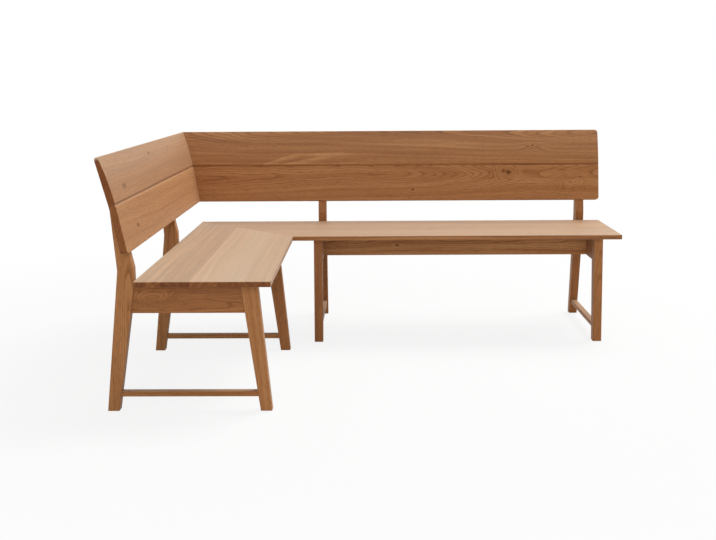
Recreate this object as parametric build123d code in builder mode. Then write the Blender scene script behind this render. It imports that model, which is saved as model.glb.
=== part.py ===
from build123d import *
import os
from math import cos, radians, sin, sqrt
from typing import NamedTuple

# Corner bench: a long and a short wing with one cross-section, mirrored in the mitre of the corner.
# Sizes across a wing run forward from the seat's rear edge, sizes along it from the seat's rear corner.

# Seat
seat_height = 460
seat_thickness = 19
stave_widths = (91, 95, 91, 81, 95)
seat_edge_round = 2.5
seat_corner_round = 4
long_length = 1829
short_length = 1395

# Side frames
frame_thickness = 36
corner_frame_start = 537.5
long_end_overhang = 68
short_end_overhang = 52
leg_edge_round = 2

# Front leg
front_leg_top_setback = 50
front_leg_top_depth = 57
front_foot_setback = 10
front_foot_depth = 39

# Rear post
post_setback = 8
rear_foot_setback = 79
rear_foot_depth = 39
post_knee_depth = 54
post_knee_rise = 26
post_top_depth = 14
post_taper_end = 150
post_top = 292
post_top_round = 8

# Apron, stretcher and seat rail
apron_thickness = 28
apron_height = 100
stretcher_thickness = 25
stretcher_height = 19
stretcher_rise = 50
rail_thickness = 28
rail_height = 100
rail_setback = 226
rail_edge_round = 2

# Backrest
lower_tilt = 11.3
upper_tilt = 14.5
back_setback = 10
back_rise = 93
board_thickness = 24
lower_board_width = 163
upper_board_width = 163
board_proud = 9
groove_gap = 1
groove_depth = 9
groove_bevel = 7
groove_bevel_depth = 3.5
crown_height = 130
crown_top_thickness = 13.5
back_corner_round = 14
board_edge_round = 2

# Tenons, dowels and tongues
joint_clearance = 0.2
tenon_length = 16
stretcher_tenon_thickness = 12
stretcher_tenon_height = 11
rail_tenon_thickness = 12
rail_tenon_height = 60
dowel_radius = 5
dowel_length = 50
dowel_inset = 26
seat_tongue_thickness = 6
seat_tongue_width = 24
seat_tongue_inset = 30
back_tongue_thickness = 5
back_tongue_width = 16
back_tongue_setback = 15
back_tongue_inset = 45

# Screws
screw_clearance = 0.1
screw_radius = 2
screw_head_radius = 4
screw_head_height = 2.2
screw_bite = 12
back_screw_grip = 11
back_screw_heights = (45, 118, 205, 265)
rail_screw_grip = 25
rail_screw_inset = 140
rail_screw_spacing = 400

# Steel plates
plate_thickness = 2.5
bracket_leg = 20
bracket_width = 26
bracket_hole_distance = 12
seat_plate_length = 100
seat_plate_width = 30
seat_plate_holes = (20, 38)
angle_leg = 70
angle_width = 50
angle_holes = (28, 54)
angle_rises = (80, 235)

# Glides, let into the feet
foot_clearance = 1
glide_radius = 12
glide_height = 3
glide_edge_round = 1
glide_nail_radius = 1.5
glide_nail_length = 16

# Reach within which an edge counts as lying on a line
near_line = 0.01

# Derived sizes
seat_depth = sum(stave_widths)
seat_plate_staves = range(0, len(stave_widths), 2)
bracket_staves = range(1, len(stave_widths), 2)
seat_bottom = seat_height - seat_thickness
apron_bottom = seat_bottom - apron_height
back_height = lower_board_width + upper_board_width
rear_foot_reach = rear_foot_setback + rear_foot_depth
back_reach = (back_setback + lower_board_width * sin(radians(lower_tilt))
              + upper_board_width * sin(radians(upper_tilt)) + board_thickness * cos(radians(upper_tilt)))
rear_reach = max(rear_foot_reach, back_reach)
up = Vector(0, 0, 1)
corner = Vector(rear_reach - long_length, short_length - rear_reach, 0) / 2
mitre_direction = Vector(1, -1, 0).normalized()
mitre_plane = Plane(origin=corner, x_dir=mitre_direction, z_dir=(1, 1, 0))


class Frame(NamedTuple):
    name: str
    inner: float
    outward: int


class Lean(NamedTuple):
    start: float
    forward: float
    height: float
    sine: float
    cosine: float


class Wing(NamedTuple):
    name: str
    along: Vector
    across: Vector
    length: float
    kept_side: Keep
    frames: tuple


def wing_frames(name, length, overhang):
    """The two side frames of a wing, each with its inner face and the way it faces."""
    corner_inner = corner_frame_start + frame_thickness
    end_inner = length - overhang - frame_thickness
    return (Frame(f"{name}_corner", corner_inner, -1), Frame(f"{name}_end", end_inner, 1))


long_wing = Wing("long", Vector(1, 0, 0), Vector(0, -1, 0), long_length, Keep.TOP,
                 wing_frames("long", long_length, long_end_overhang))
short_wing = Wing("short", Vector(0, -1, 0), Vector(1, 0, 0), short_length, Keep.BOTTOM,
                  wing_frames("short", short_length, short_end_overhang))
wings = (long_wing, short_wing)


# Places on a wing

def spot(wing, along, across, height):
    """A point of a wing, from the seat's rear corner on the floor."""
    return corner + wing.along * along + wing.across * across + up * height


def section(wing, along):
    """Plane across a wing: x runs forward, y up."""
    return Plane(origin=spot(wing, along, 0, 0), x_dir=wing.across, z_dir=wing.across.cross(up))


def plan(wing, height):
    """Level plane on a wing: x runs along it, y forward."""
    return Plane(origin=spot(wing, 0, 0, height), x_dir=wing.along, z_dir=wing.along.cross(wing.across))


def side(wing, across):
    """Upright plane along a wing: x runs along it, y up."""
    return Plane(origin=spot(wing, 0, across, 0), x_dir=wing.along, z_dir=wing.along.cross(up))


def lean_point(lean, rise, behind):
    """Section point on or behind a leaning line, at a rise measured up the back."""
    climb = rise - lean.start
    forward = lean.forward - climb * lean.sine - behind * lean.cosine
    height = lean.height + climb * lean.cosine - behind * lean.sine
    return (forward, height)


def make_lean(start, foot, tilt):
    return Lean(start, *foot, sin(radians(tilt)), cos(radians(tilt)))


# Front lines of the two back boards, and the line halfway between them at their joint
lower_lean = make_lean(0, (-back_setback, seat_height + back_rise), lower_tilt)
joint_foot = lean_point(lower_lean, lower_board_width, 0)
upper_lean = make_lean(lower_board_width, joint_foot, upper_tilt)
joint_lean = make_lean(lower_board_width, joint_foot, (lower_tilt + upper_tilt) / 2)


def lean_at(rise):
    return upper_lean if rise > lower_board_width else lower_lean


def back_point(rise, behind):
    """Section point of the back, from its lower front edge."""
    return lean_point(lean_at(rise), rise, behind)


def joint_point(behind):
    """Section point in the bevelled joint of the two back boards."""
    return lean_point(joint_lean, lower_board_width, behind / cos(radians((upper_tilt - lower_tilt) / 2)))


def back_spot(wing, along, rise, behind):
    return spot(wing, along, *back_point(rise, behind))


def back_up(wing, lean):
    return up * lean.cosine - wing.across * lean.sine


def back_normal(wing, lean):
    """Direction square to a back board, towards the sitter."""
    return wing.across * lean.cosine + up * lean.sine


def back_face(wing, lean, behind):
    """Plane in a back board: x runs along the wing, y up the back."""
    normal = wing.along.cross(back_up(wing, lean))
    return Plane(origin=spot(wing, 0, *lean_point(lean, 0, behind)), x_dir=wing.along, z_dir=normal)


def mitre_reach(rise, behind):
    """Where the mitre cuts a line along the back, measured along the wing."""
    return back_point(rise, behind)[0]


def along_wing(wing, point):
    return (point - corner).dot(wing.along)


def forward_of(wing, point):
    return (point - corner).dot(wing.across)


def up_back(wing, lean, point):
    return (point - spot(wing, 0, *lean_point(lean, 0, 0))).dot(back_up(wing, lean))


def near(value, target):
    return abs(value - target) < near_line


# Lines of the side frames

def post_front(height):
    """Front edge of the post below the seat."""
    share = (height - foot_clearance) / (seat_bottom - foot_clearance)
    return -rear_foot_setback + share * (rear_foot_setback - post_setback)


def leg_inner(height):
    """Rear edge of the front leg."""
    foot = seat_depth - front_foot_setback - front_foot_depth
    top = seat_depth - front_leg_top_setback - front_leg_top_depth
    share = (height - foot_clearance) / (seat_bottom - foot_clearance)
    return foot + share * (top - foot)


def stave_edge(index):
    return sum(stave_widths[:index])


def stave_middle(index):
    return stave_edge(index) + stave_widths[index] / 2


def frame_middle(frame):
    return frame.inner + frame.outward * frame_thickness / 2


def apron_middle(frame):
    return frame.inner + frame.outward * apron_thickness / 2


# Places of the dowels, screws and glides: z runs into the piece that each one enters last

def dowel_places(wing, frame, joint_line):
    heights = (apron_bottom + dowel_inset, seat_bottom - dowel_inset)
    return [Plane(origin=spot(wing, apron_middle(frame), joint_line(height), height), z_dir=wing.across)
            for height in heights]


def apron_screw_places(wing, frame):
    along = frame.inner - frame.outward * plate_thickness
    height = seat_bottom - bracket_hole_distance
    return [Plane(origin=spot(wing, along, stave_middle(index), height), z_dir=wing.along * frame.outward)
            for index in bracket_staves]


def seat_screw_places(wing, frame):
    along = frame.inner - frame.outward * bracket_hole_distance
    height = seat_bottom - plate_thickness
    return [Plane(origin=spot(wing, along, stave_middle(index), height), z_dir=up)
            for index in bracket_staves]


def rail_screw_places(wing):
    start = wing.frames[0].inner + rail_screw_inset
    end = wing.frames[1].inner - rail_screw_inset
    gaps = max(1, round((end - start) / rail_screw_spacing))
    height = seat_bottom - rail_screw_grip
    return [Plane(origin=spot(wing, start + (end - start) * step / gaps, rail_setback, height), z_dir=up)
            for step in range(gaps + 1)]


def back_screw_places(wing, frame):
    return [Plane(origin=back_spot(wing, frame_middle(frame), rise, board_thickness + back_screw_grip),
                  z_dir=back_normal(wing, lean_at(rise))) for rise in back_screw_heights]


def seat_plate_places():
    """Planes under the seat's mitre, with x across the joint."""
    return [Plane(origin=corner + mitre_direction * (stave_middle(index) * sqrt(2)) + up * seat_bottom,
                  x_dir=(1, 1, 0), z_dir=up) for index in seat_plate_staves]


def seat_plate_screw_places():
    return [Plane(origin=place.origin + place.x_dir * reach * turn - up * plate_thickness, z_dir=up)
            for place in seat_plate_places() for reach in seat_plate_holes for turn in (-1, 1)]


def angle_screw_places(wing):
    behind = board_thickness + plate_thickness
    return [Plane(origin=back_spot(wing, mitre_reach(rise, behind) + reach, rise, behind),
                  z_dir=back_normal(wing, lean_at(rise))) for rise in angle_rises for reach in angle_holes]


def front_glide_place(wing, frame):
    across = seat_depth - front_foot_setback - front_foot_depth / 2
    return Plane(origin=spot(wing, frame_middle(frame), across, 0), z_dir=up)


def rear_glide_place(wing, frame):
    across = -rear_foot_setback - rear_foot_depth / 2
    return Plane(origin=spot(wing, frame_middle(frame), across, 0), z_dir=up)


# Cuts and fasteners, used inside the block of the piece that they belong to

def drill(places, radius, depth):
    """Holes along z from each place."""
    with BuildSketch(*places) as holes:
        Circle(radius + screw_clearance)
    extrude(holes.sketch, amount=depth, mode=Mode.SUBTRACT)


def drill_dowels(places):
    with BuildSketch(*places) as holes:
        Circle(dowel_radius + screw_clearance)
    extrude(holes.sketch, amount=dowel_length / 2 + joint_clearance, both=True, mode=Mode.SUBTRACT)


def cut_glide_seat(place):
    drill([place], glide_radius, glide_height)
    drill([place], glide_nail_radius, glide_height + glide_nail_length + joint_clearance)


def add_screws(places, length):
    """Pan-head screws: the head's underside lies at the place, the shank runs along z."""
    with BuildSketch(*places) as shanks:
        Circle(screw_radius)
    extrude(shanks.sketch, amount=length)
    with BuildSketch(*places) as heads:
        Circle(screw_head_radius)
    extrude(heads.sketch, amount=-screw_head_height)


def cut_box(plane, middle, width, height, depth):
    """Rectangular mortise or groove about a plane."""
    with BuildSketch(plane) as opening:
        with Locations(middle):
            Rectangle(width + 2 * joint_clearance, height + 2 * joint_clearance)
    extrude(opening.sketch, amount=depth / 2 + joint_clearance, both=True, mode=Mode.SUBTRACT)


def save(part, name):
    part.label = name
    export_step(part, f"parts/{name}.step")


# Seat

def seat_tongue_plane():
    middle = corner + mitre_direction * (seat_depth / sqrt(2)) + up * (seat_bottom + seat_thickness / 2)
    return Plane(origin=middle, x_dir=mitre_direction, z_dir=up)


def seat_tongue_length():
    return seat_depth * sqrt(2) - 2 * seat_tongue_inset


def on_seat_end(wing, edge, reach):
    """Whether an edge lies at the free end of a seat."""
    return wing.length - along_wing(wing, edge.center()) < reach


def on_seat_side(wing, edge, outer_lines, reach):
    """Whether an edge lies at the front or rear edge of a seat."""
    return any(abs(forward_of(wing, edge.center()) - line) < reach for line in outer_lines)


def make_stave(wing, index):
    """One stave of a seat panel, mitred at the corner and eased on the panel's outer edges."""
    rear = stave_edge(index)
    front = stave_edge(index + 1)
    outer_lines = []
    if index == 0:
        outer_lines.append(rear)
    if index == len(stave_widths) - 1:
        outer_lines.append(front)
    with BuildPart() as stave:
        with BuildSketch(plan(wing, seat_bottom + seat_thickness / 2)):
            with BuildLine():
                Polyline((rear, rear), (wing.length, rear), (wing.length, front), (front, front), close=True)
            make_face()
        extrude(amount=seat_thickness / 2, both=True)
        corners = [edge for edge in stave.edges().filter_by(Axis.Z)
                   if on_seat_end(wing, edge, near_line) and on_seat_side(wing, edge, outer_lines, near_line)]
        if corners:
            fillet(corners, seat_corner_round)
        rims = [edge for edge in stave.faces().filter_by(Axis.Z).edges()
                if on_seat_end(wing, edge, seat_corner_round)
                or on_seat_side(wing, edge, outer_lines, seat_corner_round)]
        fillet(rims, seat_edge_round)
        cut_box(seat_tongue_plane(), (0, 0), seat_tongue_length(), seat_tongue_width, seat_tongue_thickness)
        for frame in wing.frames:
            drill(seat_screw_places(wing, frame), screw_radius, plate_thickness + screw_bite)
        drill(rail_screw_places(wing), screw_radius, rail_screw_grip + screw_bite)
        drill(seat_plate_screw_places(), screw_radius, plate_thickness + screw_bite)
    save(stave.part, f"{wing.name}_seat_stave_{index + 1}")


def make_seat_tongue():
    with BuildPart() as tongue:
        with BuildSketch(seat_tongue_plane()):
            Rectangle(seat_tongue_length(), seat_tongue_width)
        extrude(amount=seat_tongue_thickness / 2, both=True)
    save(tongue.part, "seat_mitre_tongue")


def make_seat_plates():
    """Flat steel plates across the mitre, screwed to both seats from below."""
    with BuildPart() as plates:
        with BuildSketch(*seat_plate_places()):
            SlotOverall(seat_plate_length, seat_plate_width)
        extrude(amount=-plate_thickness)
        drill(seat_plate_screw_places(), screw_radius, plate_thickness)
    save(plates.part, "seat_corner_plates")
    with BuildPart() as screws:
        add_screws(seat_plate_screw_places(), plate_thickness + screw_bite)
    save(screws.part, "seat_corner_screws")


# Side frames

def make_front_leg(wing, frame):
    outer_top = seat_depth - front_leg_top_setback
    outer_foot = seat_depth - front_foot_setback
    with BuildPart() as leg:
        with BuildSketch(section(wing, frame_middle(frame))):
            with BuildLine():
                Polyline((leg_inner(foot_clearance), foot_clearance), (outer_foot, foot_clearance),
                         (outer_top, seat_bottom), (leg_inner(seat_bottom), seat_bottom), close=True)
            make_face()
        extrude(amount=frame_thickness / 2, both=True)
        long_edges = leg.edges().filter_by(lambda edge: edge.length > seat_bottom / 2)
        fillet(long_edges, leg_edge_round)
        drill_dowels(dowel_places(wing, frame, leg_inner))
        cut_stretcher_tenon(wing, frame)
        cut_glide_seat(front_glide_place(wing, frame))
    save(leg.part, f"{frame.name}_front_leg")


def make_post(wing, frame):
    """Rear post: it leans forward up to a knee, then back behind the boards, which are let into it."""
    knee_rise = (post_setback - back_setback - board_proud * lower_lean.cosine) / lower_lean.sine
    rear_top = back_point(post_top, board_thickness + post_top_depth)
    with BuildPart() as post:
        with BuildSketch(section(wing, frame_middle(frame))) as profile:
            with BuildLine():
                Polyline((-rear_foot_reach, foot_clearance),
                         (-post_setback - post_knee_depth, seat_height + post_knee_rise),
                         back_point(post_taper_end, board_thickness + post_top_depth),
                         rear_top,
                         back_point(post_top, board_proud),
                         back_point(knee_rise, board_proud),
                         (-post_setback, seat_bottom),
                         (-rear_foot_setback, foot_clearance), close=True)
            make_face()
            fillet(profile.vertices().sort_by_distance(rear_top)[0], post_top_round)
        extrude(amount=frame_thickness / 2, both=True)
        outline = post.faces().filter_by(Axis(corner, wing.along)).edges()
        foot_line = outline.filter_by(lambda edge: near(edge.center().Z, foot_clearance))
        fillet(outline - foot_line, leg_edge_round)
        with BuildSketch(section(wing, frame_middle(frame))):
            with BuildLine():
                Polyline(back_point(0, 0), joint_point(0), back_point(back_height, 0),
                         back_point(back_height, board_thickness), joint_point(board_thickness),
                         back_point(0, board_thickness), close=True)
            make_face()
        extrude(amount=frame_thickness, both=True, mode=Mode.SUBTRACT)
        drill_dowels(dowel_places(wing, frame, post_front))
        cut_stretcher_tenon(wing, frame)
        cut_glide_seat(rear_glide_place(wing, frame))
        screw_places = back_screw_places(wing, frame)
        drill(screw_places, screw_radius, back_screw_grip)
        drill(screw_places, screw_head_radius, -rear_foot_reach)
    save(post.part, f"{frame.name}_post")


def make_apron(wing, frame):
    with BuildPart() as apron:
        with BuildSketch(section(wing, apron_middle(frame))):
            with BuildLine():
                Polyline((post_front(apron_bottom), apron_bottom), (leg_inner(apron_bottom), apron_bottom),
                         (leg_inner(seat_bottom), seat_bottom), (post_front(seat_bottom), seat_bottom),
                         close=True)
            make_face()
        extrude(amount=apron_thickness / 2, both=True)
        lower_edges = apron.faces().sort_by(Axis.Z)[0].edges().filter_by(Axis(corner, wing.across))
        fillet(lower_edges, rail_edge_round)
        drill_dowels(dowel_places(wing, frame, post_front) + dowel_places(wing, frame, leg_inner))
        cut_box(side(wing, rail_setback), (frame.inner, seat_bottom - rail_height / 2),
                2 * tenon_length, rail_tenon_height, rail_tenon_thickness)
        drill(apron_screw_places(wing, frame), screw_radius, plate_thickness + screw_bite)
    save(apron.part, f"{frame.name}_apron")


def stretcher_middle():
    """Section point at the middle of the stretcher."""
    height = stretcher_rise + stretcher_height / 2
    return ((post_front(height) + leg_inner(height)) / 2, height)


def stretcher_tenon_reach():
    """Length of the stretcher over its tenons, measured at the shoulders' middle."""
    height = stretcher_rise + stretcher_height / 2
    return leg_inner(height) - post_front(height) + 2 * tenon_length


def cut_stretcher_tenon(wing, frame):
    cut_box(section(wing, frame_middle(frame)), stretcher_middle(), stretcher_tenon_reach(),
            stretcher_tenon_height, stretcher_tenon_thickness)


def make_stretcher(wing, frame):
    bottom = stretcher_rise
    top = stretcher_rise + stretcher_height
    with BuildPart() as stretcher:
        with BuildSketch(section(wing, frame_middle(frame))):
            with BuildLine():
                Polyline((post_front(bottom), bottom), (leg_inner(bottom), bottom),
                         (leg_inner(top), top), (post_front(top), top), close=True)
            make_face()
        extrude(amount=stretcher_thickness / 2, both=True)
        fillet(stretcher.edges().filter_by(Axis(corner, wing.across)), rail_edge_round)
        with BuildSketch(section(wing, frame_middle(frame))):
            with Locations(stretcher_middle()):
                Rectangle(stretcher_tenon_reach(), stretcher_tenon_height)
        extrude(amount=stretcher_tenon_thickness / 2, both=True)
    save(stretcher.part, f"{frame.name}_stretcher")


def make_dowels(wing):
    with BuildPart() as dowels:
        for frame in wing.frames:
            with BuildSketch(*dowel_places(wing, frame, post_front), *dowel_places(wing, frame, leg_inner)):
                Circle(dowel_radius)
            extrude(amount=dowel_length / 2, both=True)
    save(dowels.part, f"{wing.name}_apron_dowels")


def make_glides(wing):
    """Round glides with a nail into each foot."""
    with BuildPart() as glides:
        for frame in wing.frames:
            places = (front_glide_place(wing, frame), rear_glide_place(wing, frame))
            with BuildSketch(*places):
                Circle(glide_radius)
            extrude(amount=glide_height)
            with BuildSketch(*places):
                Circle(glide_nail_radius)
            extrude(amount=glide_height + glide_nail_length)
        floor_rims = glides.edges().group_by(Axis.Z)[0]
        fillet(floor_rims, glide_edge_round)
    save(glides.part, f"{wing.name}_glides")


# Seat rail and what holds the seat

def make_rail(wing):
    start = wing.frames[0].inner
    end = wing.frames[1].inner
    middle = ((start + end) / 2, seat_bottom - rail_height / 2)
    with BuildPart() as rail:
        with BuildSketch(side(wing, rail_setback)):
            with Locations(middle):
                Rectangle(end - start, rail_height)
        extrude(amount=rail_thickness / 2, both=True)
        lower_edges = rail.faces().sort_by(Axis.Z)[0].edges().filter_by(Axis(corner, wing.along))
        fillet(lower_edges, rail_edge_round)
        with BuildSketch(side(wing, rail_setback)):
            with Locations(middle):
                Rectangle(end - start + 2 * tenon_length, rail_tenon_height)
        extrude(amount=rail_tenon_thickness / 2, both=True)
        places = rail_screw_places(wing)
        drill(places, screw_radius, rail_screw_grip)
        drill(places, screw_head_radius, -rail_height)
    save(rail.part, f"{wing.name}_seat_rail")
    with BuildPart() as screws:
        add_screws(places, rail_screw_grip + screw_bite)
    save(screws.part, f"{wing.name}_rail_screws")


def make_seat_brackets(wing):
    """Angle brackets between the aprons and the seat."""
    with BuildPart() as brackets:
        for frame in wing.frames:
            outer = frame.inner - frame.outward * bracket_leg
            bend = frame.inner - frame.outward * plate_thickness
            with BuildSketch(*[side(wing, stave_middle(index)) for index in bracket_staves]):
                with BuildLine():
                    Polyline((frame.inner, seat_bottom), (outer, seat_bottom),
                             (outer, seat_bottom - plate_thickness), (bend, seat_bottom - plate_thickness),
                             (bend, seat_bottom - bracket_leg), (frame.inner, seat_bottom - bracket_leg),
                             close=True)
                make_face()
            extrude(amount=bracket_width / 2, both=True)
            drill(apron_screw_places(wing, frame), screw_radius, plate_thickness)
            drill(seat_screw_places(wing, frame), screw_radius, plate_thickness)
    save(brackets.part, f"{wing.name}_seat_brackets")
    with BuildPart() as screws:
        for frame in wing.frames:
            add_screws(apron_screw_places(wing, frame), plate_thickness + screw_bite)
            add_screws(seat_screw_places(wing, frame), plate_thickness + screw_bite)
    save(screws.part, f"{wing.name}_bracket_screws")


# Backrest

def cut_back_tongue(wing):
    start = -rear_reach
    end = wing.length - back_tongue_inset
    cut_box(back_face(wing, joint_lean, back_tongue_setback), ((start + end) / 2, lower_board_width),
            end - start, back_tongue_width, back_tongue_thickness)


def drill_board(wing):
    for frame in wing.frames:
        drill(back_screw_places(wing, frame), screw_radius, back_screw_grip + screw_bite)
    drill(angle_screw_places(wing), screw_radius, plate_thickness + screw_bite)


def trim_board(wing, lean, low, high, rounded):
    """Cut a board to its length, with one rounded corner at the free end."""
    start = -rear_reach
    end = wing.length
    with BuildSketch(back_face(wing, lean, board_thickness / 2)) as outline:
        with BuildLine():
            Polyline((start, low), (end, low), (end, high), (start, high), close=True)
        make_face()
        fillet(outline.vertices().sort_by_distance((end, rounded))[0], back_corner_round)
    extrude(outline.sketch, amount=board_thickness, both=True, mode=Mode.INTERSECT)
    split(bisect_by=mitre_plane, keep=wing.kept_side)


def ease_board(wing, lean, board):
    """Round the long and end edges of a board, apart from its joint, its mitre and the start of its crown."""
    crown_line = back_height - crown_height
    normal = back_normal(wing, lean)
    outer_edges = []
    for edge in board.edges():
        point = edge.center()
        rise = up_back(wing, lean, point)
        in_mitre = abs((point - corner).dot(mitre_plane.z_dir)) < board_edge_round
        at_joint = abs(rise - lower_board_width) < groove_gap + 2 * groove_bevel
        at_crown = near(rise, crown_line)
        through = edge.geom_type == GeomType.LINE and abs(edge.tangent_at(0).dot(normal)) > 0.99
        if not (in_mitre or at_joint or at_crown or through):
            outer_edges.append(edge)
    fillet(outer_edges, board_edge_round)


def make_lower_board(wing):
    low = 0
    high = lower_board_width
    with BuildPart() as board:
        with BuildSketch(section(wing, wing.length / 2)):
            with BuildLine():
                Polyline(back_point(low, 0), back_point(low, board_thickness),
                         joint_point(board_thickness), joint_point(groove_bevel_depth),
                         back_point(high - groove_bevel, 0), close=True)
            make_face()
        extrude(amount=wing.length, both=True)
        trim_board(wing, lower_lean, low, high + board_thickness, low)
        ease_board(wing, lower_lean, board)
        cut_back_tongue(wing)
        drill_board(wing)
    save(board.part, f"{wing.name}_back_lower_board")


def make_upper_board(wing):
    """Upper board: its lower edge leaves a gap in front of the joint, and its front curves back to a thin top."""
    low = lower_board_width
    high = back_height
    groove_top = low + groove_gap
    crown_start = back_point(high - crown_height, 0)
    crown_end = back_point(high, board_thickness - crown_top_thickness)
    with BuildPart() as board:
        with BuildSketch(section(wing, wing.length / 2)):
            with BuildLine():
                Polyline(crown_end, back_point(high, board_thickness), joint_point(board_thickness),
                         joint_point(groove_depth), back_point(groove_top, groove_depth),
                         back_point(groove_top, groove_bevel_depth),
                         back_point(groove_top + groove_bevel, 0), crown_start)
                TangentArc(crown_start, crown_end, tangent=(-upper_lean.sine, upper_lean.cosine))
            make_face()
        extrude(amount=wing.length, both=True)
        trim_board(wing, upper_lean, low - board_thickness, high, high)
        ease_board(wing, upper_lean, board)
        cut_back_tongue(wing)
        drill_board(wing)
    save(board.part, f"{wing.name}_back_upper_board")


def make_back_tongue(wing):
    start = -rear_reach
    end = wing.length - back_tongue_inset
    with BuildPart() as tongue:
        with BuildSketch(back_face(wing, joint_lean, back_tongue_setback)):
            with Locations(((start + end) / 2, lower_board_width)):
                Rectangle(end - start, back_tongue_width)
        extrude(amount=back_tongue_thickness / 2, both=True)
        split(bisect_by=mitre_plane, keep=wing.kept_side)
    save(tongue.part, f"{wing.name}_back_tongue")


def make_back_screws(wing):
    with BuildPart() as screws:
        for frame in wing.frames:
            add_screws(back_screw_places(wing, frame), back_screw_grip + screw_bite)
    save(screws.part, f"{wing.name}_back_screws")


def make_back_angle(name, rise):
    """Bent steel plate round the outside of the backrest's corner."""
    low = rise - angle_width / 2
    high = rise + angle_width / 2
    behind = board_thickness + plate_thickness
    end = mitre_reach(rise, behind) + angle_leg
    with BuildPart() as angle:
        with BuildSketch(section(long_wing, end)):
            with BuildLine():
                Polyline(back_point(low, board_thickness), back_point(high, board_thickness),
                         back_point(high, behind), back_point(low, behind), close=True)
            make_face()
        extrude(amount=rear_reach + angle_leg)
        split(bisect_by=mitre_plane, keep=long_wing.kept_side)
        mirror(about=mitre_plane)
        for wing in wings:
            drill(angle_screw_places(wing), screw_radius, plate_thickness)
    save(angle.part, name)


def make_angle_screws():
    with BuildPart() as screws:
        for wing in wings:
            add_screws(angle_screw_places(wing), plate_thickness + screw_bite)
    save(screws.part, "back_corner_screws")


os.makedirs("parts", exist_ok=True)
for wing in wings:
    for index in range(len(stave_widths)):
        make_stave(wing, index)
    for frame in wing.frames:
        make_front_leg(wing, frame)
        make_post(wing, frame)
        make_apron(wing, frame)
        make_stretcher(wing, frame)
    make_dowels(wing)
    make_glides(wing)
    make_rail(wing)
    make_seat_brackets(wing)
    make_lower_board(wing)
    make_upper_board(wing)
    make_back_tongue(wing)
    make_back_screws(wing)
make_seat_tongue()
make_seat_plates()
for name, rise in zip(("back_corner_angle_lower", "back_corner_angle_upper"), angle_rises):
    make_back_angle(name, rise)
make_angle_screws()
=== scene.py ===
from math import cos, radians, sin

import bpy
from mathutils import Matrix, Vector


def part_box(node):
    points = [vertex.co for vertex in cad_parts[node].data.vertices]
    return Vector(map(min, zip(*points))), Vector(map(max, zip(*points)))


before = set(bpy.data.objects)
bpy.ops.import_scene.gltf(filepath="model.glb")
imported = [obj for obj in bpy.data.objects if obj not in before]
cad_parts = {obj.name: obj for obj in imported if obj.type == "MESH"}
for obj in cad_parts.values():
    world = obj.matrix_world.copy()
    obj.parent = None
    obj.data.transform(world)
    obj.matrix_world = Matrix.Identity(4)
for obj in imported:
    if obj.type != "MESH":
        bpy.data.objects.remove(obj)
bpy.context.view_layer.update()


# Side frames: two under each wing, each a rear post that runs up behind the backrest, a raked front leg,
# an apron dowelled between them under the seat and a thin stretcher tenoned in above the feet.
# Planed solid oak from a knotty trunk, sanded and oiled to a satin that leaves the pores open.

def linear(hex_code):
    """sRGB hex value as a linear colour."""
    channels = [int(hex_code[i:i + 2], 16) / 255 for i in (1, 3, 5)]
    return [c / 12.92 if c <= 0.04045 else ((c + 0.055) / 1.055) ** 2.4 for c in channels] + [1.0]


def add(tree, kind, inputs={}, stops=(), **settings):
    """Add a node with its settings. An input takes a value or another node's output, and a colour ramp
    takes stops, first to last, each with its position, hex colour and cover."""
    node = tree.nodes.new(kind)
    for name, value in settings.items():
        setattr(node, name, value)
    for socket, value in inputs.items():
        if isinstance(value, bpy.types.NodeSocket):
            tree.links.new(value, node.inputs[socket])
        else:
            node.inputs[socket].default_value = value
    if stops:
        elements = node.color_ramp.elements
        while len(elements) < len(stops):
            elements.new(0.5)
        for element, (position, hex_code, cover) in zip(elements, stops):
            element.position = position
            element.color = linear(hex_code)[:3] + [cover]
    return node


# Growth of the oak, in metres from the heart of the trunk with z along the fibres. Rings are drawn 3.2 mm
# apart and pores 1 mm by 30 mm, coarser than the real 2 mm and 0.3 mm by 10 mm, so that they show. An era
# is a run of fat or lean years with a tone of its own, and a ripple moves the rings in and out.
ring_spacing = 0.0032
spring_share = 0.55
era_width = 0.013
pore_size = (0.001, 0.001, 0.03)
streak_size = (0.03, 0.03, 1.1)
ripple_size = (0.07, 0.07, 0.28)
ripple_depth = 0.012
bend_size = (0.4, 0.4, 1.1)
bend_depth = 0.05
streak_tone, era_tone, year_tone, spring_tone = 0.9, 0.4, 0.2, -0.2
base_tone = -0.14

oak_growth = bpy.data.node_groups.new("oak growth", "ShaderNodeTree")
oak_growth.interface.new_socket("Place", in_out="INPUT", socket_type="NodeSocketVector")
oak_growth.interface.new_socket("Swell", in_out="INPUT", socket_type="NodeSocketFloat")
for output in ("Tone", "Pores", "Height"):
    oak_growth.interface.new_socket(output, in_out="OUTPUT", socket_type="NodeSocketFloat")
entry = add(oak_growth, "NodeGroupInput")
bend = add(oak_growth, "ShaderNodeVectorMath",
           {0: entry.outputs["Place"], 1: [1 / size for size in bend_size]}, operation="MULTIPLY")
bend = add(oak_growth, "ShaderNodeTexNoise", {"Vector": bend.outputs[0], "Scale": 1.0, "Detail": 1.0})
bend = add(oak_growth, "ShaderNodeVectorMath",
           {0: bend.outputs["Color"], 1: (bend_depth, bend_depth, 0),
            2: (-bend_depth / 2, -bend_depth / 2, 0)}, operation="MULTIPLY_ADD")
place = add(oak_growth, "ShaderNodeVectorMath",
            {0: entry.outputs["Place"], 1: bend.outputs[0]}, operation="ADD")
across = add(oak_growth, "ShaderNodeVectorMath", {0: place.outputs[0], 1: (1, 1, 0)}, operation="MULTIPLY")
radius = add(oak_growth, "ShaderNodeVectorMath", {0: across.outputs[0]}, operation="LENGTH")
ripple = add(oak_growth, "ShaderNodeVectorMath",
             {0: place.outputs[0], 1: [1 / size for size in ripple_size]}, operation="MULTIPLY")
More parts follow.
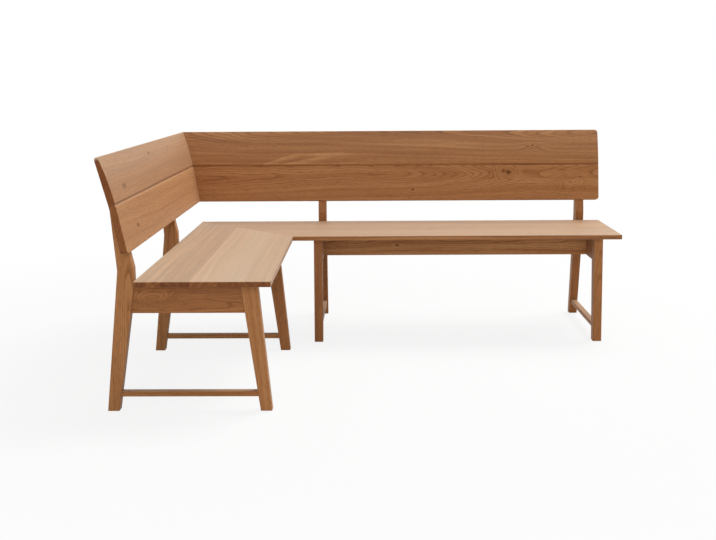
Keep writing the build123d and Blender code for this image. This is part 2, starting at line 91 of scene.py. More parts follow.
ripple = add(oak_growth, "ShaderNodeTexNoise", {"Vector": ripple.outputs[0], "Scale": 1.0, "Detail": 2.0})
grown = add(oak_growth, "ShaderNodeMath",
            {0: ripple.outputs["Fac"], 1: ripple_depth, 2: radius.outputs["Value"]}, operation="MULTIPLY_ADD")
grown = add(oak_growth, "ShaderNodeMath", {0: grown.outputs[0], 1: entry.outputs["Swell"]}, operation="ADD")
year = add(oak_growth, "ShaderNodeMath", {0: grown.outputs[0], 1: ring_spacing}, operation="DIVIDE")
season = add(oak_growth, "ShaderNodeMath", {0: year.outputs[0]}, operation="FRACT")
spring = add(oak_growth, "ShaderNodeMapRange",
             {"Value": season.outputs[0], "From Max": spring_share, "To Min": 1.0, "To Max": 0.0},
             interpolation_type="SMOOTHSTEP")
whole_year = add(oak_growth, "ShaderNodeMath", {0: year.outputs[0]}, operation="FLOOR")
weather = add(oak_growth, "ShaderNodeTexWhiteNoise", {"W": whole_year.outputs[0]}, noise_dimensions="1D")
era = add(oak_growth, "ShaderNodeMath", {0: grown.outputs[0], 1: era_width}, operation="DIVIDE")
era = add(oak_growth, "ShaderNodeTexNoise",
          {"W": era.outputs[0], "Scale": 1.0, "Detail": 1.0}, noise_dimensions="1D")
streak = add(oak_growth, "ShaderNodeVectorMath",
             {0: place.outputs[0], 1: [1 / size for size in streak_size]}, operation="MULTIPLY")
streak = add(oak_growth, "ShaderNodeTexNoise",
             {"Vector": streak.outputs[0], "Scale": 1.0, "Detail": 4.0, "Roughness": 0.62})
pores = add(oak_growth, "ShaderNodeVectorMath",
            {0: place.outputs[0], 1: [1 / size for size in pore_size]}, operation="MULTIPLY")
pores = add(oak_growth, "ShaderNodeTexNoise", {"Vector": pores.outputs[0], "Scale": 1.0, "Detail": 1.0})
pores = add(oak_growth, "ShaderNodeMath",
            {0: spring.outputs[0], 1: 0.16, 2: pores.outputs["Fac"]}, operation="MULTIPLY_ADD")
pores = add(oak_growth, "ShaderNodeMapRange",
            {"Value": pores.outputs[0], "From Min": 0.58, "From Max": 0.74}, interpolation_type="SMOOTHSTEP")
tone = add(oak_growth, "ShaderNodeMath",
           {0: streak.outputs["Fac"], 1: streak_tone, 2: base_tone}, operation="MULTIPLY_ADD")
tone = add(oak_growth, "ShaderNodeMath",
           {0: era.outputs["Fac"], 1: era_tone, 2: tone.outputs[0]}, operation="MULTIPLY_ADD")
tone = add(oak_growth, "ShaderNodeMath",
           {0: weather.outputs["Value"], 1: year_tone, 2: tone.outputs[0]}, operation="MULTIPLY_ADD")
tone = add(oak_growth, "ShaderNodeMath",
           {0: spring.outputs[0], 1: spring_tone, 2: tone.outputs[0]}, operation="MULTIPLY_ADD")
height = add(oak_growth, "ShaderNodeMath",
             {0: spring.outputs[0], 1: -0.3, 2: 1.0}, operation="MULTIPLY_ADD")
height = add(oak_growth, "ShaderNodeMath",
             {0: pores.outputs[0], 1: -0.7, 2: height.outputs[0]}, operation="MULTIPLY_ADD")
add(oak_growth, "NodeGroupOutput",
    {"Tone": tone.outputs[0], "Pores": pores.outputs[0], "Height": height.outputs[0]})


def dress(piece, material):
    """Put a material in all the slots of a piece."""
    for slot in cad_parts[piece].material_slots:
        slot.material = material


# Oil and painted light on the oak: oil sinks deepest into the pores and the end grain; faces turned up are
# painted paler, a painted highlight for the light from above, and faces turned down are painted darker, a
# painted shade. Each tint has its cover; bloom is the soft sheen of the satin.
wood_tones = ((0.1, "#845536", 1), (0.5, "#AA7042", 1), (0.9, "#CB9663", 1))
pore_tint, pore_cover = "#6B421E", 0.55
end_grain_tint, end_grain_cover = "#C0A58A", 0.85
# Painted highlight: the pale tint that faces turned up are painted towards, standing in for the light from
# above.
painted_top_light_tint = "#E0C9AC"
# Painted shade: the tint and cover that darken faces turned down.
painted_shade_tint, painted_shade_cover = "#A88660", 0.5
bloom_tint = "#FFF4DE"
knot_reach, knot_swell = 4.0, 0.9
right_through = 10


def oiled_oak(piece, heart, grain, tone=0.0, figure=1.0, bloom=0.12, painted_top_light=0.3, face=(0, 0, 1),
              knots=(), eyes=(), flames=()):
    """Give a piece its own cut of oiled oak: warm brown, darker in the spring wood, the open pores and the
    end grain, with a satin gloss. Faces turned up are painted paler, a painted highlight for the light from
    above, and faces turned down are painted darker, a painted shade. heart is the way from the piece's middle
    to the heart of the trunk, and grain runs along the fibres. tone lightens the cut, figure strengthens its
    streaks, bloom is its sheen at a low angle, and the top-light setting is how far the faces turned up are
    painted paler. All marks on the face have a place, half length and half width first. A knot then has its
    depth of colour. An eye, where the rings close round a swelling, has the swelling's height in eras. A
    flame, which is a pale streak, has its slant and strength."""
    low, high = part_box(piece)
    along = Vector(grain).normalized()
    turn = along.rotation_difference(Vector((0, 0, 1))).to_matrix()
    heart_place = turn @ ((low + high) / 2 + Vector(heart))
    normal = Vector(face).normalized()
    oak = bpy.data.materials.new(piece + "_oiled_oak")
    oak.use_nodes = True
    tree = oak.node_tree
    surface = tree.nodes["Principled BSDF"]
    surface.inputs["Specular IOR Level"].default_value = 0.12
    surface.inputs["Sheen Weight"].default_value = bloom
    surface.inputs["Sheen Roughness"].default_value = 0.5
    surface.inputs["Sheen Tint"].default_value = linear(bloom_tint)
    coords = add(tree, "ShaderNodeTexCoord")
    trunk = add(tree, "ShaderNodeMapping",
                {"Vector": coords.outputs["Object"], "Location": -heart_place, "Rotation": turn.to_euler()})
    growth = add(tree, "ShaderNodeGroup", {"Place": trunk.outputs[0]}, node_tree=oak_growth)

    def around(spot, half_length, half_width, slant=0.0):
        """Coordinates that reach 1 at the edge of a mark on the face, and the distance in them."""
        run = Matrix.Rotation(slant, 3, normal) @ along
        axes = Matrix((normal, run.cross(normal), run)).transposed().to_euler()
        near = add(tree, "ShaderNodeMapping",
                   {"Vector": coords.outputs["Object"], "Location": spot, "Rotation": axes,
                    "Scale": (right_through, half_width, half_length)}, vector_type="TEXTURE")
        away = add(tree, "ShaderNodeVectorMath", {0: near.outputs[0]}, operation="LENGTH")
        return near.outputs[0], away.outputs["Value"]

    shade = add(tree, "ShaderNodeMath",
                {0: growth.outputs["Tone"], 1: figure, 2: tone + 0.5 - figure / 2}, operation="MULTIPLY_ADD")
    for spot, half_length, half_width, slant, strength in flames:
        near, away = around(spot, half_length, half_width, slant)
        glow = add(tree, "ShaderNodeMapRange", {"Value": away, "From Min": 1.0, "From Max": 0.2},
                   interpolation_type="SMOOTHSTEP")
        lick = add(tree, "ShaderNodeVectorMath", {0: near, 1: (1, 1.6, 0.7)}, operation="MULTIPLY")
        lick = add(tree, "ShaderNodeTexNoise", {"Vector": lick.outputs[0], "Scale": 1.0, "Detail": 2.0})
        lick = add(tree, "ShaderNodeMapRange",
                   {"Value": lick.outputs["Fac"], "From Min": 0.3, "From Max": 0.55,
                    "To Min": 0.3 * strength, "To Max": strength})
        shade = add(tree, "ShaderNodeMath",
                    {0: glow.outputs[0], 1: lick.outputs[0], 2: shade.outputs[0]}, operation="MULTIPLY_ADD")
    wood = add(tree, "ShaderNodeValToRGB", {"Fac": shade.outputs[0]}, wood_tones)
    oiled = add(tree, "ShaderNodeMath", {0: growth.outputs["Pores"], 1: pore_cover}, operation="MULTIPLY")
    colour = add(tree, "ShaderNodeMix",
                 {0: oiled.outputs[0], 6: wood.outputs["Color"], 7: linear(pore_tint)}, data_type="RGBA")
    facing = add(tree, "ShaderNodeVectorMath",
                 {0: coords.outputs["Normal"], 1: along}, operation="DOT_PRODUCT")
    facing = add(tree, "ShaderNodeMath", {0: facing.outputs["Value"]}, operation="ABSOLUTE")
    end_grain = add(tree, "ShaderNodeMapRange",
                    {"Value": facing.outputs[0], "From Min": 0.55, "From Max": 0.9,
                     "To Max": end_grain_cover},
                    interpolation_type="SMOOTHSTEP")
    colour = add(tree, "ShaderNodeMix",
                 {0: end_grain.outputs[0], 6: colour.outputs[2], 7: linear(end_grain_tint)},
                 data_type="RGBA", blend_type="MULTIPLY")
    # Painted highlight: faces turned up are painted paler, standing in for the light from above.
    facing_up = add(tree, "ShaderNodeSeparateXYZ", {0: coords.outputs["Normal"]}).outputs["Z"]
    painted_top_light_mask = add(tree, "ShaderNodeMapRange", {"Value": facing_up, "From Min": 0.15, "To Max": painted_top_light})
    colour = add(tree, "ShaderNodeMix",
                 {0: painted_top_light_mask.outputs[0], 6: colour.outputs[2], 7: linear(painted_top_light_tint)}, data_type="RGBA")
    # Painted shade: faces turned down are painted darker.
    painted_underside_shade = add(tree, "ShaderNodeMapRange",
                    {"Value": facing_up, "From Min": 0.1, "From Max": -0.5, "To Max": painted_shade_cover})
    colour = add(tree, "ShaderNodeMix",
                 {0: painted_underside_shade.outputs[0], 6: colour.outputs[2], 7: linear(painted_shade_tint)},
                 data_type="RGBA", blend_type="MULTIPLY")

    swell = add(tree, "ShaderNodeMath", {0: 0.0, 1: 0.0}, operation="ADD")
    for spot, half_length, half_width, eras in eyes:
        away = around(spot, half_length, half_width)[1]
        lift = add(tree, "ShaderNodeMapRange",
                   {"Value": away, "From Max": 1.0, "To Min": eras * era_width, "To Max": 0.0},
                   interpolation_type="SMOOTHSTEP")
        swell = add(tree, "ShaderNodeMath", {0: swell.outputs[0], 1: lift.outputs[0]}, operation="ADD")
    for spot, half_length, half_width, depth in knots:
        near, away = around(spot, half_length, half_width)
        lift = add(tree, "ShaderNodeMapRange",
                   {"Value": away, "From Max": knot_reach, "To Min": knot_swell * half_width, "To Max": 0.0},
                   interpolation_type="SMOOTHSTEP")
        swell = add(tree, "ShaderNodeMath", {0: swell.outputs[0], 1: lift.outputs[0]}, operation="ADD")
        rim = add(tree, "ShaderNodeTexNoise", {"Vector": near, "Scale": 2.2, "Detail": 2.0})
        rim = add(tree, "ShaderNodeMath",
                  {0: rim.outputs["Fac"], 1: 0.5, 2: -0.25}, operation="MULTIPLY_ADD")
        rim = add(tree, "ShaderNodeMath", {0: away, 1: 0.7, 2: rim.outputs[0]}, operation="MULTIPLY_ADD")
        knot = add(tree, "ShaderNodeValToRGB", {"Fac": rim.outputs[0]},
                   ((0.0, "#4E240A", depth), (0.2, "#643412", 0.9 * depth), (0.4, "#4E260A", 0.9 * depth),
                    (0.65, "#6E3D16", 0.5 * depth), (1.0, "#8F5C30", 0.0)))
        colour = add(tree, "ShaderNodeMix",
                     {0: knot.outputs["Alpha"], 6: colour.outputs[2], 7: knot.outputs["Color"]},
                     data_type="RGBA")
    tree.links.new(swell.outputs[0], growth.inputs["Swell"])
    tree.links.new(colour.outputs[2], surface.inputs["Base Color"])
    gloss = add(tree, "ShaderNodeMapRange",
                {"Value": growth.outputs["Height"], "To Min": 0.62, "To Max": 0.48})
    tree.links.new(gloss.outputs[0], surface.inputs["Roughness"])
    relief = add(tree, "ShaderNodeBump",
                 {"Height": growth.outputs["Height"], "Strength": 0.35, "Distance": 0.0004})
    tree.links.new(relief.outputs[0], surface.inputs["Normal"])
    dress(piece, oak)


# Each cut has its heart, grain, tone, figure and bloom. The near apron has an eye at its left.
upright = (0.01, 0.02, 1)
long_rake, short_rake = (0, 0.049, 0.441), (-0.049, 0, 0.441)
long_level, short_level = (0.01, 1, 0.015), (1, 0.01, 0.015)
frame_cuts = {
    "long_corner_post": ((0.03, 0.06, 0.0), upright, 0.0, 0.6, 0.12),
    "long_corner_front_leg": ((0.05, 0.02, 0.0), long_rake, -0.12, 0.6, 0.1),
    "long_corner_apron": ((-0.05, 0.0, 0.03), long_level, -0.12, 0.75, 0.1),
    "long_corner_stretcher": ((0.03, 0.0, -0.06), long_level, 0.0, 0.9, 0.12),
    "long_end_post": ((-0.06, 0.03, 0.0), upright, -0.06, 0.6, 0.12),
    "long_end_front_leg": ((0.02, 0.06, 0.0), long_rake, -0.04, 0.6, 0.14),
    "long_end_apron": ((0.06, 0.0, -0.02), long_level, -0.2, 0.75, 0.05),
    "long_end_stretcher": ((-0.04, 0.0, -0.05), long_level, 0.08, 0.9, 0.1),
    "short_corner_post": ((0.04, 0.05, 0.0), upright, 0.1, 0.6, 0.15),
    "short_corner_front_leg": ((0.06, -0.02, 0.0), short_rake, -0.05, 0.6, 0.1),
    "short_corner_apron": ((0.0, 0.05, 0.03), short_level, -0.1, 0.75, 0.1),
    "short_corner_stretcher": ((0.0, 0.05, -0.05), short_level, 0.08, 0.9, 0.12),
    "short_end_post": ((0.05, 0.06, 0.0), upright, 0.08, 0.5, 0.16),
    "short_end_front_leg": ((-0.05, 0.05, 0.0), short_rake, 0.04, 0.6, 0.14),
    "short_end_stretcher": ((0.0, -0.05, 0.06), short_level, -0.03, 0.9, 0.15),
}
# Every frame piece takes the default painted highlight on faces turned up and painted shade on faces turned
# down.
for name, (heart, grain, tone, figure, bloom) in frame_cuts.items():
    oiled_oak(name, heart, grain, tone, figure, bloom)
oiled_oak("short_end_apron", (0.0, 0.06, -0.03), short_level, tone=-0.12, figure=0.7, bloom=0.1,
          face=(0, -1, 0), eyes=[((-0.81, -0.7, 0.388), 0.13, 0.042, 1.8)])


# Apron dowels: two at each end of every apron, glued half into the apron and half into the leg or post.
# Bare turned beech, pale and pinkish, with short dark flecks along the pin. The flecks are drawn 0.8 mm by
# 6 mm, coarser than the real 0.3 mm by 3 mm, so that they show.
fleck_across, fleck_along = 0.0008, 0.006
for name, along in (("long_apron_dowels", Vector((0, 1, 0))), ("short_apron_dowels", Vector((1, 0, 0)))):
    beech = bpy.data.materials.new(name + "_beech")
    beech.use_nodes = True
    tree = beech.node_tree
    surface = tree.nodes["Principled BSDF"]
    surface.inputs["Specular IOR Level"].default_value = 0.3
    coords = add(tree, "ShaderNodeTexCoord")
    stretch = Vector([1 / fleck_across] * 3) + along * (1 / fleck_along - 1 / fleck_across)
    fibre = add(tree, "ShaderNodeMapping", {"Vector": coords.outputs["Object"], "Scale": stretch})
    fibre = add(tree, "ShaderNodeTexNoise", {"Vector": fibre.outputs[0], "Scale": 1.0, "Detail": 2.0})
    colour = add(tree, "ShaderNodeValToRGB", {"Fac": fibre.outputs["Fac"]},
                 ((0.3, "#DDBB93", 1), (0.55, "#CDA678", 1), (0.68, "#A2744A", 1)))
    tree.links.new(colour.outputs["Color"], surface.inputs["Base Color"])
    gloss = add(tree, "ShaderNodeMapRange", {"Value": fibre.outputs["Fac"], "To Min": 0.6, "To Max": 0.75})
    tree.links.new(gloss.outputs[0], surface.inputs["Roughness"])
    relief = add(tree, "ShaderNodeBump",
                 {"Height": fibre.outputs["Fac"], "Strength": 0.25, "Distance": 0.0002})
    tree.links.new(relief.outputs[0], surface.inputs["Normal"])
    dress(name, beech)


# Glides: a round disc under each foot with a pin on its back, let into the end of the wood.
# Moulded brown plastic with a matt grain, scuffed paler by the floor in patches of about 6 mm. The grain is
# drawn 0.6 mm wide, coarser than the real 0.1 mm, so that it shows.
scuff_width, mould_grain = 0.00625, 0.000625
plastic = bpy.data.materials.new("moulded brown plastic")
plastic.use_nodes = True
tree = plastic.node_tree
surface = tree.nodes["Principled BSDF"]
coords = add(tree, "ShaderNodeTexCoord")
scuff = add(tree, "ShaderNodeTexNoise",
            {"Vector": coords.outputs["Object"], "Scale": 1 / scuff_width, "Detail": 4.0})
colour = add(tree, "ShaderNodeValToRGB", {"Fac": scuff.outputs["Fac"]},
             ((0.35, "#4A3222", 1), (0.6, "#5A402E", 1), (0.72, "#75604E", 1)))
tree.links.new(colour.outputs["Color"], surface.inputs["Base Color"])
gloss = add(tree, "ShaderNodeMapRange", {"Value": scuff.outputs["Fac"], "To Min": 0.48, "To Max": 0.7})
tree.links.new(gloss.outputs[0], surface.inputs["Roughness"])
moulded = add(tree, "ShaderNodeTexNoise",
              {"Vector": coords.outputs["Object"], "Scale": 1 / mould_grain, "Detail": 1.0})
relief = add(tree, "ShaderNodeBump",
             {"Height": moulded.outputs["Fac"], "Strength": 0.3, "Distance": 0.0001})
tree.links.new(relief.outputs[0], surface.inputs["Normal"])
for name in ("long_glides", "short_glides"):
    dress(name, plastic)


# Seat rails: one under each seat, on edge between the aprons, tenoned into them and screwed up into the
# seat. Planed oak as the frames, a long straight cut with the odd pin knot; the screws are zinc-plated steel.
oiled_oak("long_seat_rail", (0.1, 0.07, 0.02), (1, 0.012, -0.01), tone=0.04, face=(0, -1, 0),
          knots=[((0.0395, 0.3985, 0.386), 0.008, 0.0055, 0.9)])
oiled_oak("short_seat_rail", (0.06, 0.0, 0.03), (0.008, 1, 0.012))

cloud_width = 0.004
scratch_length, scratch_width = 0.0067, 0.00033
screw_zinc = ("#8F8C80", "#ABA89C")


def zinc_plated(piece, dull, bright):
    """Steel with a bright zinc plating, clouded in patches about 4 mm wide and scratched all one way. The
    scratches are drawn 0.3 mm wide, coarser than the real 0.05 mm, so that they show."""
    zinc = bpy.data.materials.new(piece + "_zinc_plated_steel")
    zinc.use_nodes = True
    tree = zinc.node_tree
    surface = tree.nodes["Principled BSDF"]
    surface.inputs["Metallic"].default_value = 1.0
    coords = add(tree, "ShaderNodeTexCoord")
    cloud = add(tree, "ShaderNodeTexNoise",
                {"Vector": coords.outputs["Object"], "Scale": 1 / cloud_width, "Detail": 5.0,
                 "Roughness": 0.6})
    colour = add(tree, "ShaderNodeValToRGB", {"Fac": cloud.outputs["Fac"]},
                 ((0.3, dull, 1), (0.65, bright, 1)))
    tree.links.new(colour.outputs["Color"], surface.inputs["Base Color"])
    gloss = add(tree, "ShaderNodeMapRange",
                {"Value": cloud.outputs["Fac"], "From Min": 0.3, "From Max": 0.7,
                 "To Min": 0.45, "To Max": 0.28})
    tree.links.new(gloss.outputs[0], surface.inputs["Roughness"])
    scratch = add(tree, "ShaderNodeMapping",
                  {"Vector": coords.outputs["Object"], "Rotation": (0.5, 0.3, 0.8),
                   "Scale": (1 / scratch_length, 1 / scratch_width, 1 / scratch_width)})
    scratch = add(tree, "ShaderNodeTexNoise", {"Vector": scratch.outputs[0], "Scale": 1.0, "Detail": 1.0})
    relief = add(tree, "ShaderNodeBump",
                 {"Height": scratch.outputs["Fac"], "Strength": 0.15, "Distance": 0.0001})
    tree.links.new(relief.outputs[0], surface.inputs["Normal"])
    dress(piece, zinc)


for name in ("long_rail_screws", "short_rail_screws"):
    zinc_plated(name, *screw_zinc)


# Seats: five staves a wing, glued edge to edge, planed flush, mitred in the corner and oiled. The oak staves
# come from different trunks, so that each has its own tone; the short seat's are cut with a straighter grain.
# Each cut has its heart, grain, tone, figure and painted top light, the paling painted on its faces turned up
# as a painted highlight for the light from above.
seat_bloom = 0.3
stave_cuts = {
    "long_seat_stave_1": ((0, 0.02, -0.07), (1, 0.006, 0.012), -0.12, 1.2, 0.22),
    "long_seat_stave_2": ((0, 0.07, -0.05), (1, -0.01, 0.006), 0.04, 1.2, 0.27),
    "long_seat_stave_3": ((0, -0.02, -0.09), (1, 0.004, -0.014), -0.26, 1.2, 0.33),
    "long_seat_stave_4": ((0, -0.06, -0.06), (1, 0.012, 0.004), -0.13, 1.2, 0.39),
    "long_seat_stave_5": ((0, 0.01, -0.08), (1, -0.006, 0.016), -0.14, 1.2, 0.39),
    "short_seat_stave_1": ((0.1, 0, -0.06), (0.008, 1, 0.014), -0.05, 1.6, 0.36),
    "short_seat_stave_2": ((-0.06, 0, -0.07), (0.004, 1, -0.008), -0.26, 1.4, 0.35),
    "short_seat_stave_3": ((0.12, 0, -0.1), (-0.01, 1, 0.012), 0.0, 1.2, 0.5),
    "short_seat_stave_4": ((0.13, 0, -0.05), (0.006, 1, -0.012), -0.14, 1.2, 0.57),
    "short_seat_stave_5": ((-0.11, 0, -0.08), (-0.008, 1, 0.01), -0.15, 1.4, 0.49),
}
for name, (heart, grain, tone, figure, painted_top_light) in stave_cuts.items():
    oiled_oak(name, heart, grain, tone, figure, seat_bloom, painted_top_light)


# Mitre tongue: a loose tongue glued into grooves in both seats where their ends meet in the corner.
# Birch plywood, pale and dark plies in turn with a thin dark line of glue between them. The fibres are drawn
# 1.1 mm wide, coarser than the real 0.3 mm, so that they show.
fibre_width = 0.0011


def birch_plywood(piece, thickness, plies, through):
    """Plywood of some plies, stacked along the direction through and pale or dark as their grain turns."""
    low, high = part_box(piece)
    plywood = bpy.data.materials.new(piece + "_birch_plywood")
    plywood.use_nodes = True
    tree = plywood.node_tree
    surface = tree.nodes["Principled BSDF"]
    surface.inputs["Specular IOR Level"].default_value = 0.3
    coords = add(tree, "ShaderNodeTexCoord")
    centred = add(tree, "ShaderNodeMapping",
                  {"Vector": coords.outputs["Object"], "Location": -(low + high) / 2})
    layer = add(tree, "ShaderNodeVectorMath",
                {0: centred.outputs[0], 1: Vector(through) * plies / thickness}, operation="DOT_PRODUCT")
    layer = add(tree, "ShaderNodeMath", {0: layer.outputs["Value"], 1: plies / 2}, operation="ADD")
    turned = add(tree, "ShaderNodeMath", {0: layer.outputs[0], 1: 2.0}, operation="WRAP")
    turned = add(tree, "ShaderNodeMath", {0: turned.outputs[0], 1: 1.0}, operation="GREATER_THAN")
    fibre = add(tree, "ShaderNodeTexNoise",
                {"Vector": coords.outputs["Object"], "Scale": 1 / fibre_width, "Detail": 2.0})
    pale = add(tree, "ShaderNodeValToRGB", {"Fac": fibre.outputs["Fac"]},
               ((0.3, "#CDB083", 1), (0.7, "#DFC69C", 1)))
    dark = add(tree, "ShaderNodeValToRGB", {"Fac": fibre.outputs["Fac"]},
               ((0.3, "#A27B4E", 1), (0.7, "#BB9364", 1)))
    colour = add(tree, "ShaderNodeMix",
                 {0: turned.outputs[0], 6: pale.outputs["Color"], 7: dark.outputs["Color"]}, data_type="RGBA")
    glue = add(tree, "ShaderNodeMath", {0: layer.outputs[0], 1: 0.5}, operation="PINGPONG")
    glue = add(tree, "ShaderNodeMapRange",
               {"Value": glue.outputs[0], "From Max": 0.08, "To Min": 0.8, "To Max": 0.0})
    colour = add(tree, "ShaderNodeMix",
                 {0: glue.outputs[0], 6: colour.outputs[2], 7: linear("#6E4A2A")}, data_type="RGBA")
    tree.links.new(colour.outputs[2], surface.inputs["Base Color"])
    gloss = add(tree, "ShaderNodeMapRange", {"Value": fibre.outputs["Fac"], "To Min": 0.8, "To Max": 0.62})
    tree.links.new(gloss.outputs[0], surface.inputs["Roughness"])
    relief = add(tree, "ShaderNodeBump",
                 {"Height": fibre.outputs["Fac"], "Strength": 0.3, "Distance": 0.0002})
    tree.links.new(relief.outputs[0], surface.inputs["Normal"])
    dress(piece, plywood)


birch_plywood("seat_mitre_tongue", 0.006, 5, (0, 0, 1))


# Seat brackets and corner plates: small angles between the aprons and the seats, and flat plates across the
# mitre from below. Punched from sheet steel and zinc plated, each held by pan-head screws.
plate_zinc = ("#85888B", "#9C9EA0")
for name in ("long_seat_brackets", "short_seat_brackets", "seat_corner_plates"):
    zinc_plated(name, *plate_zinc)
for name in ("long_bracket_screws", "short_bracket_screws", "seat_corner_screws"):
    zinc_plated(name, *screw_zinc)


# Backrests: two broad boards a wing, one over the other on a loose tongue with a shadow gap between them. The
# upper board leans further back and is planed thinner to its top edge; both are mitred in the corner.
# Knotty oak, oiled, the long boards with an arched figure and the short ones straighter in the grain.
lower_lean, upper_lean = radians(11.3), radians(14.5)

# In mm: the lower board's width, its foot behind the seat and above the floor, and the seat's rear corner.
lower_width = 163
foot_behind, foot_height = 10, 553
seat_corner_x, seat_corner_y = -855.5, 638.5


def lean_back(rise):
    """How far behind the seat's rear edge and how high a point of the boards' front is, in mm."""
    low, high = min(rise, lower_width), max(rise - lower_width, 0)
    behind = foot_behind + low * sin(lower_lean) + high * sin(upper_lean)
    height = foot_height + low * cos(lower_lean) + high * cos(upper_lean)
    return behind, height


def long_back(along, rise):
    """Place on the long backrest's front, from mm along it from the seat's rear corner and up the boards."""
    behind, height = lean_back(rise)
    return Vector((seat_corner_x + along, seat_corner_y + behind, height)) / 1000


def short_back(along, rise):
    """Place on the short backrest's front, from mm along it from the seat's rear corner and up the boards."""
    behind, height = lean_back(rise)
    return Vector((seat_corner_x - behind, seat_corner_y - along, height)) / 1000


# Each board's top-light setting is how far its faces turned up are painted paler, a painted highlight for the
# light from above.
long_face = (0, -cos(lower_lean), sin(lower_lean))
short_face = (cos(lower_lean), 0, sin(lower_lean))
oiled_oak("long_back_lower_board", (0, 0.07, 0.02), (1, 0.012, 0.004), tone=0.04, figure=0.6, bloom=0.08,
          painted_top_light=0.0, face=long_face,
          knots=[(long_back(1415, 128), 0.0115, 0.009, 0.95), (long_back(1392, 135), 0.007, 0.0065, 0.85),
                 (long_back(974, 51), 0.0065, 0.0055, 0.85), (long_back(1745, 105), 0.006, 0.004, 0.5)],
          eyes=[(long_back(1560, 95), 0.65, 0.16, 2), (long_back(1700, 90), 0.12, 0.055, 1.6),
                (long_back(1745, 90), 0.05, 0.04, 1), (long_back(1410, 128), 0.09, 0.04, 0.7)])
oiled_oak("long_back_upper_board", (0, 0.08, 0.05), (1, -0.03, 0.006), tone=-0.04, figure=0.9, bloom=0.08,
          painted_top_light=0.28, face=long_face,
          knots=[(long_back(1528, 254), 0.006, 0.005, 0.6), (long_back(1505, 247), 0.009, 0.003, 0.5),
                 (long_back(1553, 247), 0.007, 0.003, 0.4)],
          eyes=[(long_back(1528, 246), 0.1, 0.04, 1.5)],
          flames=[(long_back(378, 194), 0.14, 0.016, 0.27, 0.36),
                  (long_back(490, 186), 0.15, 0.014, 0.14, 0.36),
                  (long_back(574, 214), 0.16, 0.013, 0.02, 0.32)])
oiled_oak("short_back_lower_board", (-0.3, 0, 0.12), (0.008, 1, 0.004), tone=0.11, figure=0.5, bloom=0.15,
          painted_top_light=0.1, face=short_face, knots=[(short_back(1177, 66), 0.014, 0.008, 0.9)],
          eyes=[(short_back(1177, 66), 0.08, 0.03, 1)])
oiled_oak("short_back_upper_board", (-0.3, 0, 0.2), (-0.01, 1, 0.003), tone=-0.09, figure=0.75, bloom=0.14,
          painted_top_light=0.85, face=short_face,
          knots=[(short_back(723, 286), 0.014, 0.006, 0.8), (short_back(349, 287), 0.01, 0.004, 0.5),
                 (short_back(1219, 209), 0.026, 0.01, 0.6)],
          eyes=[(short_back(1219, 209), 0.034, 0.02, 2), (short_back(723, 286), 0.07, 0.025, 1)])


# Back tongues and screws: a loose tongue hides in the edges between the two boards of each wing, and screws
# with their heads sunk in the backs of the posts hold the boards. Birch plywood and zinc-plated steel.
joint_lean = (lower_lean + upper_lean) / 2
birch_plywood("long_back_tongue", 0.005, 3, (0, -cos(joint_lean), sin(joint_lean)))
birch_plywood("short_back_tongue", 0.005, 3, (cos(joint_lean), 0, sin(joint_lean)))
for name in ("long_back_screws", "short_back_screws"):
    zinc_plated(name, *screw_zinc)


# Back corner angles: two bent plates round the outside of the backrest's corner, one for the lower boards
# and one for the upper. Sheet steel, zinc plated, with two screws to a side at each angle.
for name in ("back_corner_angle_lower", "back_corner_angle_upper"):
    zinc_plated(name, *plate_zinc)
zinc_plated("back_corner_screws", *screw_zinc)


# Floor, light and camera: a floor of white paper that runs out of sight, a large soft light from the upper
# right, a weaker one in front and an even white round about. The floor looks white, and near the bench a
# part of it is the lit paper, which keeps the bench's soft shadow.
floor_size = 60
shadow_reach, white_reach = 1.2, 3.5
shadow_white = 0.86
sky_light = 0.33
lights = {"key light": ((2.6, 2.15, 6.15), 4.0, 396.0), "front light": ((-0.5, -6.0, 2.5), 3.0, 104.0)}
light_aim = Vector((0, 0.2, 0.4))
camera_place = (-0.0712, -3.9544, 1.1142)
pan, tilt, roll = 0.0143, radians(90) - 0.1905, -0.0066


def looked_at(tree):
    """1 where the eye looks, straight, in gloss or through glass, and 0 where only light arrives."""
    rays = add(tree, "ShaderNodeLightPath").outputs
    seen = add(tree, "ShaderNodeMath",
               {0: rays["Is Camera Ray"], 1: rays["Is Glossy Ray"]}, operation="MAXIMUM")
    seen = add(tree, "ShaderNodeMath",
               {0: seen.outputs[0], 1: rays["Is Transmission Ray"]}, operation="MAXIMUM")
    return seen.outputs[0]


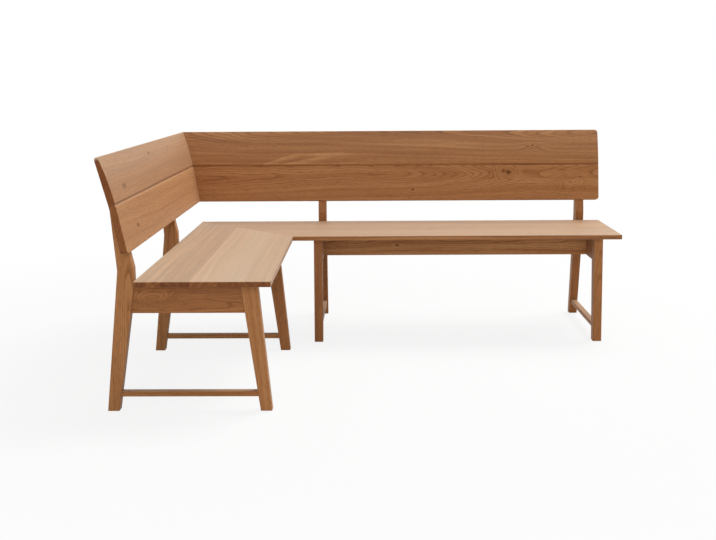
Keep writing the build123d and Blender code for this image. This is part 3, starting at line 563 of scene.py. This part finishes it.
bpy.ops.object.select_all(action="DESELECT")
bpy.ops.mesh.primitive_plane_add(size=floor_size, location=(0, 0, 0))
floor = bpy.context.active_object
floor.name = "studio_floor"
paper = bpy.data.materials.new("white studio paper")
paper.use_nodes = True
tree = paper.node_tree
tree.nodes.remove(tree.nodes["Principled BSDF"])
matt = add(tree, "ShaderNodeBsdfDiffuse", {"Color": linear("#E8E8E6")})
glow = add(tree, "ShaderNodeEmission", {"Color": (1, 1, 1, 1), "Strength": 1.0})
reach = add(tree, "ShaderNodeTexCoord")
reach = add(tree, "ShaderNodeVectorMath", {0: reach.outputs["Object"]}, operation="LENGTH")
white = add(tree, "ShaderNodeMapRange",
            {"Value": reach.outputs["Value"], "From Min": shadow_reach, "From Max": white_reach,
             "To Min": shadow_white, "To Max": 1.0}, interpolation_type="SMOOTHSTEP")
lit = add(tree, "ShaderNodeMixShader", {0: white.outputs[0], 1: matt.outputs[0], 2: glow.outputs[0]})
either = add(tree, "ShaderNodeMixShader", {0: looked_at(tree), 1: matt.outputs[0], 2: lit.outputs[0]})
tree.links.new(either.outputs[0], tree.nodes["Material Output"].inputs["Surface"])
floor.data.materials.append(paper)

world = bpy.data.worlds.new("white studio")
bpy.context.scene.world = world
world.use_nodes = True
tree = world.node_tree
strength = add(tree, "ShaderNodeMapRange", {"Value": looked_at(tree), "To Min": sky_light, "To Max": 1.0})
tree.links.new(strength.outputs[0], tree.nodes["Background"].inputs["Strength"])
tree.nodes["Background"].inputs["Color"].default_value = (1, 1, 1, 1)

for name, (place, size, power) in lights.items():
    lamp = bpy.data.lights.new(name, "AREA")
    lamp.size = size
    lamp.energy = power
    lamp_object = bpy.data.objects.new(name, lamp)
    bpy.context.scene.collection.objects.link(lamp_object)
    lamp_object.location = place
    lamp_object.rotation_euler = (light_aim - Vector(place)).to_track_quat("-Z", "Y").to_euler()

camera = bpy.data.cameras.new("camera")
camera.sensor_fit = "HORIZONTAL"
camera.sensor_width = 36
camera.lens = 50.335
camera_object = bpy.data.objects.new("camera", camera)
bpy.context.scene.collection.objects.link(camera_object)
turn = Matrix.Rotation(pan, 4, "Z") @ Matrix.Rotation(tilt, 4, "X") @ Matrix.Rotation(roll, 4, "Z")
camera_object.matrix_world = Matrix.Translation(camera_place) @ turn
bpy.context.scene.camera = camera_object
bpy.context.scene.view_settings.view_transform = "Standard"
